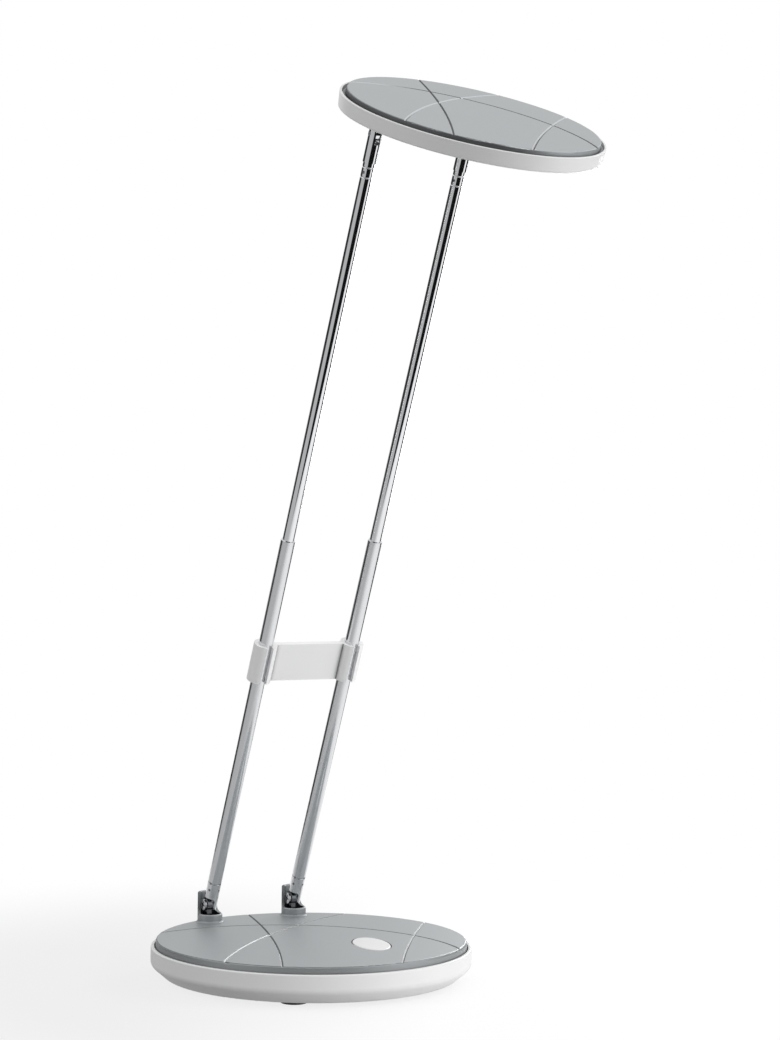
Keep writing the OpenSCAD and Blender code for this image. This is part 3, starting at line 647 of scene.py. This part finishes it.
@dataclass(frozen=True)
class FrostedLens(Finish):
    """Opal plastic window with a fine prism grain."""

    colour: Colour
    roughness: float = 0.38
    clear: float = 0.25
    bending: float = 1.49
    prisms_per_metre: float = 900.0
    prism_rough: float = 0.15
    prism_depth: float = 0.00006
    cloud: Clouds = Clouds(60.0, 3.0)
    cloud_shade: float = 0.95

    def surface(self, web: Web) -> Sock:
        """Shader of the light window.

        Args:
            web: Node tree of the material.

        Returns:
            Socket of the shader.
        """
        place = web.place()
        prism = web.cells(place, self.prisms_per_metre, feature="F1")
        cloud = web.noise(place, self.cloud)
        return web.glossy({
            "Base Color": web.tint(cloud, shade(self.colour, self.cloud_shade), self.colour),
            "Roughness": self.roughness + self.prism_rough * prism,
            "Transmission Weight": self.clear,
            "IOR": self.bending,
            "Normal": web.bump(prism, self.prism_depth),
        })


@dataclass(frozen=True)
class LightChip(Finish):
    """Light chip with yellow phosphor and paler patches under a clear coat."""

    phosphor: Colour
    body: Colour
    roughness: float = 0.25
    coat: float = 0.4
    grain: Clouds = Clouds(5000.0)
    grain_rough: float = 0.1
    grain_depth: float = 0.000008
    patch: Clouds = Clouds(500.0, 1.0)
    patch_span: Span = Span(0.4, 0.6)
    patch_share: float = 0.25

    def surface(self, web: Web) -> Sock:
        """Shader of a light chip.

        Args:
            web: Node tree of the material.

        Returns:
            Socket of the shader.
        """
        place = web.place()
        grain = web.noise(place, self.grain)
        patch = web.noise(place, self.patch).ramp(self.patch_span)
        return web.glossy({
            "Base Color": web.tint(patch * self.patch_share, self.phosphor, self.body),
            "Roughness": self.roughness + self.grain_rough * grain,
            "Coat Weight": self.coat,
            "Normal": web.bump(grain, self.grain_depth),
        })


class Slot(Enum):
    """Material slots of the record."""

    WHITE = "white_plastic"
    GREY = "grey_plastic"
    CHROME = "chrome"
    SATIN = "satin_chrome"
    STEEL = "steel"
    RUBBER = "rubber"
    BOARD = "board"
    BLACK = "black_plastic"
    BRASS = "brass"
    WIRE = "wire"
    LENS = "diffuser"
    LIGHT_BOARD = "light_board"
    CHIP = "led"
    PAD = "pad"


# The grey nodes all have a paint of their own, which their sub-assemblies give.
FINISHES: dict[Slot, Finish] = {
    Slot.WHITE: MouldedPlastic(
        "white_plastic", (0.77, 0.77, 0.773),
        roughness=0.36, grain=0.0004, grain_depth=0.000002, spread=0.012,
    ),
    Slot.BLACK: MouldedPlastic(
        "black_plastic", (0.022, 0.022, 0.024),
        roughness=0.45, grain=0.0003, grain_depth=0.000006, spread=0.15,
    ),
    Slot.WIRE: MouldedPlastic(
        "wire", (0.45, 0.04, 0.03),
        roughness=0.38, grain=0.0008, grain_depth=0.000006, spread=0.08,
    ),
    Slot.CHROME: PlatedTube("chrome", (0.86, 0.87, 0.89), roughness=0.05, line_depth=0.0000005, haze=0.03),
    Slot.SATIN: PlatedTube(
        "satin_chrome", (0.80, 0.81, 0.83), roughness=0.17, line_depth=0.0000015, haze=0.08
    ),
    Slot.STEEL: MachinedMetal("steel", (0.56, 0.57, 0.59), roughness=0.28),
    Slot.BRASS: MachinedMetal("brass", (0.74, 0.58, 0.28), roughness=0.25),
    Slot.RUBBER: SoftRubber("rubber", (0.05, 0.05, 0.055)),
    Slot.PAD: SoftRubber("pad", (0.26, 0.28, 0.31), dust=(0.4, 0.42, 0.44)),
    Slot.BOARD: CircuitBoard(
        "board", mask=(0.02, 0.12, 0.05), track=(0.05, 0.24, 0.10), pad=(0.72, 0.66, 0.45)
    ),
    Slot.LIGHT_BOARD: CircuitBoard(
        "light_board", mask=(0.78, 0.79, 0.78), track=(0.70, 0.71, 0.70), pad=(0.70, 0.70, 0.68)
    ),
    Slot.LENS: FrostedLens("diffuser", (0.86, 0.86, 0.84)),
    Slot.CHIP: LightChip("led", phosphor=(0.86, 0.70, 0.16), body=(0.85, 0.84, 0.78)),
}


class Wardrobe:
    """Builds each finish once and puts it on pieces and nodes."""

    def __init__(self) -> None:
        """Start without materials."""
        self.materials: dict[Finish, bpy.types.Material] = {}

    def material(self, finish: Finish) -> bpy.types.Material:
        """Material of a finish, built at its first use.

        Args:
            finish: The finish.

        Returns:
            Its material.
        """
        if finish not in self.materials:
            self.materials[finish] = finish.material()
        return self.materials[finish]

    def wear(self, piece: bpy.types.Object, slot: Slot) -> None:
        """Give a piece the one material of a slot."""
        piece.data.materials.clear()
        piece.data.materials.append(self.material(FINISHES[slot]))

    def dress(self, node: str, own: Finish | None) -> None:
        """Give a CAD node its own finish, or else that of the slot which the record names for it.

        Args:
            node: Name of the node.
            own: Finish of this node alone, where it has one.
        """
        slot = Slot(next(row["material_slot"] for row in frame["record"]["subparts"] if row["node"] == node))
        material = self.material(own or FINISHES[slot])
        for place in frame["nodes"][node].material_slots:
            place.material = material
        LOG.info("node %s of slot %s wears %s", node, slot.value, material.name)


@dataclass
class Assembly:
    """Pieces of one body of the lamp."""

    wardrobe: Wardrobe
    body: str

    def own_finishes(self) -> dict[str, Finish]:
        """Finishes of single nodes that differ from those of their slots."""
        return {}

    def build(self) -> None:
        """Dress all CAD nodes of the body."""
        own = self.own_finishes()
        for node in frame["record"]["behaviour"]["bodies"][self.body]:
            self.wardrobe.dress(node, own.get(node))

    def add(self, name: str, shape: bmesh.types.BMesh, slot: Slot, replaced: str) -> None:
        """Add a piece that takes the place of a CAD node.

        Args:
            name: Name of the piece.
            shape: Its mesh in the lamp's frame, which is freed.
            slot: Material slot of the piece.
            replaced: CAD node that the piece stands for.
        """
        mesh = bpy.data.meshes.new(name)
        bmesh.ops.recalc_face_normals(shape, faces=shape.faces)
        shape.to_mesh(mesh)
        shape.free()
        piece = put(name, mesh)
        self.wardrobe.wear(piece, slot)
        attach(piece, self.body)
        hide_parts(replaced)
        LOG.info("piece %s rides on %s", name, self.body)


@dataclass
class Base(Assembly):
    """Weighted base with its tray, grooved cover, hinge cups and hinge lugs, in metres."""

    body: str = "base"
    # Span behind the middle over which the painted highlight on the cover's groove walls fades out.
    highlight_fade_back: Span = Span(0.005, 0.013)
    cup_shade_reach: float = 0.008
    lug_lines: float = 0.0000005

    def own_finishes(self) -> dict[str, Finish]:
        """Paints of the cover, with a painted highlight and painted shade, and of the cups, with painted
        shade inside, and the dark plating of the two lugs.

        Returns:
            Finish by the name of the node.
        """
        cover = GroovedPaint("base_paint", SILVER_GREY, highlight_tone=0.8, wall_highlight=0.85, highlight_fade_back=self.highlight_fade_back)
        cups = SilverPaint("cup_paint", SILVER_GREY, roughness=0.55, corner_shade_reach=self.cup_shade_reach)
        dark = (0.2, 0.205, 0.215)
        lug = PlatedTube("dark_plating", dark, roughness=0.16, line_depth=self.lug_lines, haze=0.1)
        return {
            "base_cover": cover,
            "hinge_cups": cups,
            "hinge_lug_left": lug,
            "hinge_lug_right": lug,
        }


@dataclass
class Button(Assembly):
    """Oval push button with a rounded edge and a slightly domed top, in millimetres and degrees."""

    body: str = "button"
    half_length: float = 14.6
    half_width: float = 7.4
    turn: float = 74.0
    right: float = 15.7
    front: float = 23.0
    wall: float = 1.2
    cap: float = 1.4
    flange: float = 1.1
    edge: float = 0.55
    edge_steps: int = 8
    crown: float = 0.3
    crown_rings: tuple[float, ...] = (0.92, 0.8, 0.65, 0.48, 0.3, 0.12)
    sides: int = 128
    sharp: float = 40.0

    def build(self) -> None:
        """Dress the plunger and put the domed cap in place of the plain one."""
        super().build()
        shape = bmesh.new()
        rings = [self.ring(shape, *step) for step in self.profile()]
        for low, high in zip(rings, rings[1:]):
            for i in range(self.sides):
                j = (i + 1) % self.sides
                shape.faces.new((low[i], low[j], high[j], high[i])).smooth = True
        for ring in (rings[0], rings[-1]):
            shape.faces.new(ring).smooth = True
        for edge in shape.edges:
            edge.smooth = len(edge.link_faces) == 2 and edge.calc_face_angle() < math.radians(self.sharp)
        self.add("button_cap", shape, Slot.WHITE, "power_button")

    def profile(self) -> list[Point]:
        """Rings from the hollow inside over the flange and the rounded edge to the crown.

        Returns:
            Growth of the oval, height, and share of the oval's size for each ring.
        """
        low, high = (corner[2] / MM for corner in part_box("power_button"))
        rim = high - self.crown
        steps = [(-self.wall, high - self.cap, 1.0), (-self.wall, low, 1.0), (self.flange, low, 1.0)]
        steps += [(self.flange, low + self.flange, 1.0), (0.0, low + self.flange, 1.0)]
        for i in range(self.edge_steps + 1):
            turn = math.radians(90 * i / self.edge_steps)
            steps.append((self.edge * (math.cos(turn) - 1), rim + self.edge * (math.sin(turn) - 1), 1.0))
        steps += [(-self.edge, rim + self.crown * (1 - t * t), t) for t in self.crown_rings]
        return steps

    def ring(
        self,
        shape: bmesh.types.BMesh,
        grow: float,
        height: float,
        share: float,
    ) -> list[bmesh.types.BMVert]:
        """Add the points of one oval.

        Args:
            shape: Mesh that takes the points.
            grow: Distance that the oval is larger than the button.
            height: Height above the desk.
            share: Factor on the oval's size.

        Returns:
            The new points in order.
        """
        tilt = math.radians(self.turn)
        points = []
        for i in range(self.sides):
            angle = 2 * math.pi * i / self.sides
            along = (self.half_length + grow) * share * math.cos(angle)
            across = (self.half_width + grow) * share * math.sin(angle)
            x = self.right + along * math.cos(tilt) - across * math.sin(tilt)
            y = -self.front + along * math.sin(tilt) + across * math.cos(tilt)
            points.append(shape.verts.new((x * MM, y * MM, height * MM)))
        return points


@dataclass
class LowerRods(Assembly):
    """Two lower tubes with their rod ends on the hinge screws, in metres."""

    body: str = "lower_rods"
    screw_lines: float = 0.0000005

    def own_finishes(self) -> dict[str, Finish]:
        """Plating of the hinge screws.

        Returns:
            Finish by the name of the node.
        """
        grey = (0.42, 0.425, 0.44)
        screw = PlatedTube("screw_plating", grey, roughness=0.14, line_depth=self.screw_lines, haze=0.1)
        return {"hinge_screws": screw}


@dataclass
class UpperRods(Assembly):
    """Two upper tubes with their slide bushes and top forks."""

    body: str = "upper_rods"


@dataclass
class Clip(Assembly):
    """Clip that joins the two lower tubes, in metres."""

    body: str = "clip"
    grain: float = 0.0004
    grain_depth: float = 0.000002
    slit_shade_reach: float = 0.0025

    def own_finishes(self) -> dict[str, Finish]:
        """Pale plastic of the clip with painted shade in its slits and inner corners.

        Returns:
            Finish by the name of the node.
        """
        plastic = MouldedPlastic(
            "clip_plastic",
            (0.87, 0.87, 0.875),
            roughness=0.36,
            grain=self.grain,
            grain_depth=self.grain_depth,
            spread=0.012,
            corner_shade_reach=self.slit_shade_reach,
        )
        return {"rod_clip": plastic}


@dataclass
class Head(Assembly):
    """Flat light head with its shell, grooved cover, window and lights, in metres and radians."""

    body: str = "head"
    lean: float = ROD_LEAN
    step_shade_reach: float = 0.0016

    def own_finishes(self) -> dict[str, Finish]:
        """Paint of the cover with a painted highlight and painted shade on its edge and groove walls, and
        painted shade in the step round it.

        Returns:
            Finish by the name of the node.
        """
        paint = GroovedPaint(
            "head_paint",
            SILVER_GREY,
            corner_shade_reach=self.step_shade_reach,
            lean=self.lean,
            shade_tone=0.15,
            edge_shade=0.85,
        )
        return {"head_cover": paint}


@dataclass
class PhotoCamera:
    """Camera at the photograph's place, in metres, degrees and pixels of its frame."""

    azimuth: float = -28.3979
    distance: float = 1.0257634
    height: float = 0.1975254
    pan: float = 1.6991
    pitch: float = -0.3026
    roll: float = 0.7704
    focal: float = 2453.3274
    long_side: float = 1040.0
    sensor: float = 36.0

    def ahead(self) -> Vector:
        """Level direction from the camera's place to the lamp."""
        turn = math.radians(self.azimuth)
        return Vector((-math.sin(turn), math.cos(turn), 0.0))

    def side(self) -> Vector:
        """Level direction to the right of the picture."""
        turn = math.radians(self.azimuth)
        return Vector((math.cos(turn), math.sin(turn), 0.0))

    def spot(self, front: float, right: float, up: float) -> Vector:
        """Point given from the lamp's foot, towards the camera, to the right and upwards."""
        return self.side() * right - self.ahead() * front + Vector((0.0, 0.0, up))

    def build(self) -> None:
        """Add the camera to the scene."""
        data = bpy.data.cameras.new("photo_camera")
        data.sensor_fit = "AUTO"
        data.sensor_width = self.sensor
        data.lens = self.focal / self.long_side * self.sensor
        camera = put("photo_camera", data)
        up = Vector((0.0, 0.0, 1.0))
        pan, pitch, roll = (math.radians(angle) for angle in (self.pan, self.pitch, self.roll))
        look = math.cos(pan) * self.ahead() + math.sin(pan) * self.side()
        right = math.cos(pan) * self.side() - math.sin(pan) * self.ahead()
        gaze = math.cos(pitch) * look + math.sin(pitch) * up
        crown = math.cos(pitch) * up - math.sin(pitch) * look
        x_axis = math.cos(roll) * right + math.sin(roll) * crown
        y_axis = math.cos(roll) * crown - math.sin(roll) * right
        turn = Matrix((x_axis, y_axis, -gaze)).transposed().to_4x4()
        camera.matrix_world = Matrix.Translation(self.spot(self.distance, 0.0, self.height)) @ turn
        bpy.context.scene.camera = camera


@dataclass(frozen=True)
class StudioFloor(Finish):
    """Pale floor that keeps a soft shadow near the lamp and turns white further out, in metres."""

    colour: Colour = (0.90, 0.90, 0.90)
    glow: float = 0.8
    fade: Span = Span(0.12, 0.30)
    fibre: Clouds = Clouds(400.0, 3.0)
    fibre_shade: float = 0.99

    def surface(self, web: Web) -> Sock:
        """Shader of the floor.

        Args:
            web: Node tree of the material.

        Returns:
            Socket of the shader.
        """
        away = web.node("ShaderNodeVectorMath", {"operation": "LENGTH"}, {0: web.place()}, out="Value")
        fibre = web.noise(web.place(), self.fibre)
        colour = web.tint(fibre, shade(self.colour, self.fibre_shade), self.colour)
        paper = web.node("ShaderNodeBsdfDiffuse", inputs={"Color": colour})
        share = web.seen() * (self.glow + (1 - self.glow) * away.ramp(self.fade))
        return web.blend(share, paper, web.shining("ShaderNodeEmission", 1.0))


@dataclass(frozen=True)
class CardPaint(Finish):
    """Even tone of a card that fades out towards its edges."""

    level: float
    soft: Pair

    def surface(self, web: Web) -> Sock:
        """Shader of a card.

        Args:
            web: Node tree of the material.

        Returns:
            Socket of the shader.
        """
        place = web.node("ShaderNodeTexCoord", out="UV")
        inside = 1.0
        for axis, soft in zip("XY", self.soft):
            at = web.node("ShaderNodeSeparateXYZ", inputs={0: place}, out=axis)
            inside = inside * at.least(1 - at).ramp(Span(0.0, soft))
        clear = web.node("ShaderNodeBsdfTransparent")
        return web.blend(inside, clear, web.shining("ShaderNodeEmission", self.level))


class Rays(Enum):
    """Kind of light that meets a card."""

    MIRRORED = "mirrored"
    SOFT = "soft"


@dataclass(frozen=True)
class Card:
    """Card beside the lamp, with places towards the camera, to the right and upwards, in metres.

    The two soft shares of the width fade along the first and the second side of the outline.
    """

    name: str
    level: float
    soft: Pair
    rays: Rays

    def corners(self) -> list[Point]:
        """Corners in order; each kind of card has its own."""
        raise NotImplementedError


@dataclass(frozen=True)
class LyingCard(Card):
    """Card that lies just above the floor."""

    height: float
    outline: tuple[Pair, Pair, Pair, Pair]

    def corners(self) -> list[Point]:
        """Corners of the outline at its height."""
        return [(*corner, self.height) for corner in self.outline]


@dataclass(frozen=True)
class StandingCard(Card):
    """Card that stands upright between two ends."""

    first: Pair
    second: Pair
    bottom: float
    top: float

    def corners(self) -> list[Point]:
        """Corners along the bottom and back along the top."""
        low = [(*self.first, self.bottom), (*self.second, self.bottom)]
        return low + [(*self.second, self.top), (*self.first, self.top)]


CARDS = (
    LyingCard(
        "card_front", 0.006, (0.06, 0.035), Rays.MIRRORED,
        height=0.003, outline=((0.245, -0.12), (0.245, 0.75), (1.1, 0.95), (1.1, -0.35)),
    ),
    LyingCard(
        "card_low_left", 0.5, (0.05, 0.075), Rays.MIRRORED,
        height=0.0015, outline=((-0.15, 0.18), (1.1, 0.18), (1.1, -4.0), (-0.15, -4.0)),
    ),
    LyingCard(
        "card_floor_left", 0.03, (0.06, 0.06), Rays.MIRRORED,
        height=0.002, outline=((-0.05, -0.22), (-0.02, -1.4), (-2.0, -1.4), (-0.7, -0.3)),
    ),
    StandingCard(
        "card_left", 0.03, (0.1, 0.1), Rays.MIRRORED,
        first=(0.35, -1.3), second=(-2.3, -1.2), bottom=-0.1, top=0.75,
    ),
    StandingCard(
        "card_right", 0.03, (0.07, 0.2), Rays.MIRRORED,
        first=(-0.06, 1.1), second=(-1.9, 0.3), bottom=-0.4, top=0.6,
    ),
    StandingCard(
        "card_back", 0.42, (0.25, 0.25), Rays.MIRRORED,
        first=(-1.2, -1.6), second=(-1.2, 1.0), bottom=0.0, top=0.45,
    ),
    StandingCard(
        "card_behind", 0.05, (0.1, 0.1), Rays.MIRRORED,
        first=(1.3, -1.2), second=(1.3, 1.2), bottom=0.0, top=1.2,
    ),
    LyingCard(
        "card_shade", 0.2, (0.1, 0.15), Rays.SOFT,
        height=0.0018, outline=((-0.35, 0.06), (0.6, 0.06), (0.6, -0.9), (-0.35, -0.9)),
    ),
    LyingCard(
        "card_shade_front", 0.05, (0.1, 0.15), Rays.SOFT,
        height=0.0022, outline=((0.2, 0.9), (1.6, 0.9), (1.6, -1.2), (0.2, -1.2)),
    ),
)


@dataclass(frozen=True)
class SoftBox:
    """Square light by its place towards the camera, to the right and upwards, in metres and watts."""

    name: str
    place: Point
    size: float
    power: float
    mirrored: bool


SOFT_BOXES = (
    SoftBox("key_light", (0.18, 0.60, 0.32), size=0.3, power=1.15, mirrored=False),
    SoftBox("back_light", (-0.5, 0.26, 0.24), size=0.22, power=0.8, mirrored=True),
)


@dataclass
class Studio:
    """Floor, cards, soft boxes, world and camera, in metres."""

    view: PhotoCamera
    floor_reach: float = 0.42
    floor_sides: int = 96
    sky_level: float = 0.92
    sky_up: float = 0.01
    sky_right: float = 0.07
    lamp_middle: Point = (0.0, -0.03, 0.15)

    def build(self) -> None:
        """Set up the whole studio."""
        bpy.context.scene.view_settings.view_transform = "Standard"
        self.view.build()
        self.floor()
        self.world()
        for box in SOFT_BOXES:
            self.soft_box(box)
        for card in CARDS:
            self.card(card)

    def floor(self) -> None:
        """Round table top below the lamp."""
        mesh = bpy.data.meshes.new("floor")
        shape = bmesh.new()
        bmesh.ops.create_circle(shape, cap_ends=True, segments=self.floor_sides, radius=self.floor_reach)
        shape.to_mesh(mesh)
        shape.free()
        mesh.materials.append(StudioFloor("floor").material())
        put("floor", mesh)
        LOG.info("staged floor")

    def world(self) -> None:
        """White surroundings for what is seen and mirrored, and soft light from all sides."""
        world = bpy.data.worlds.new("studio")
        world.use_nodes = True
        bpy.context.scene.world = world
        web = Web(world.node_tree)
        where = web.node("ShaderNodeTexCoord", out="Generated")
        up = web.node("ShaderNodeSeparateXYZ", inputs={0: where}, out="Z")
        level = self.sky_level + self.sky_up * up + self.sky_right * web.dot(where, tuple(self.view.side()))
        soft = web.shining("ShaderNodeBackground", level)
        white = web.shining("ShaderNodeBackground", 1.0)
        web.node("ShaderNodeOutputWorld", inputs={"Surface": web.blend(web.seen(), soft, white)})

    def soft_box(self, box: SoftBox) -> None:
        """Add one square light that faces the lamp.

        Args:
            box: The light's place, size and power.
        """
        data = bpy.data.lights.new(box.name, "AREA")
        data.size = box.size
        data.energy = box.power
        light = put(box.name, data)
        light.visible_camera = False
        light.visible_glossy = box.mirrored
        light.location = self.view.spot(*box.place)
        aim = Vector(self.lamp_middle) - light.location
        light.rotation_euler = aim.to_track_quat("-Z", "Y").to_euler()
        LOG.info("light %s", box.name)

    def card(self, card: Card) -> None:
        """Add one card that only reflections see, or only soft light.

        Args:
            card: The card's place, tone and kind of light.
        """
        mesh = bpy.data.meshes.new(card.name)
        mesh.from_pydata([self.view.spot(*corner) for corner in card.corners()], [], [(0, 1, 2, 3)])
        layer = mesh.uv_layers.new(name="edge")
        for corner, place in zip(layer.data, ((0.0, 0.0), (1.0, 0.0), (1.0, 1.0), (0.0, 1.0))):
            corner.uv = place
        mesh.materials.append(CardPaint(card.name, card.level, card.soft).material())
        piece = put(card.name, mesh)
        piece.visible_camera = False
        piece.visible_shadow = False
        piece.visible_diffuse = card.rays is Rays.SOFT
        piece.visible_glossy = card.rays is Rays.MIRRORED
        LOG.info("staged %s", card.name)


def main() -> None:
    """Dress the lamp and set up its picture."""
    logging.basicConfig(level=logging.INFO, format="%(message)s")
    wardrobe = Wardrobe()
    for assembly in (Base, Button, LowerRods, UpperRods, Clip, Head):
        assembly(wardrobe).build()
    Studio(PhotoCamera()).build()


if __name__ == "__main__":
    main()
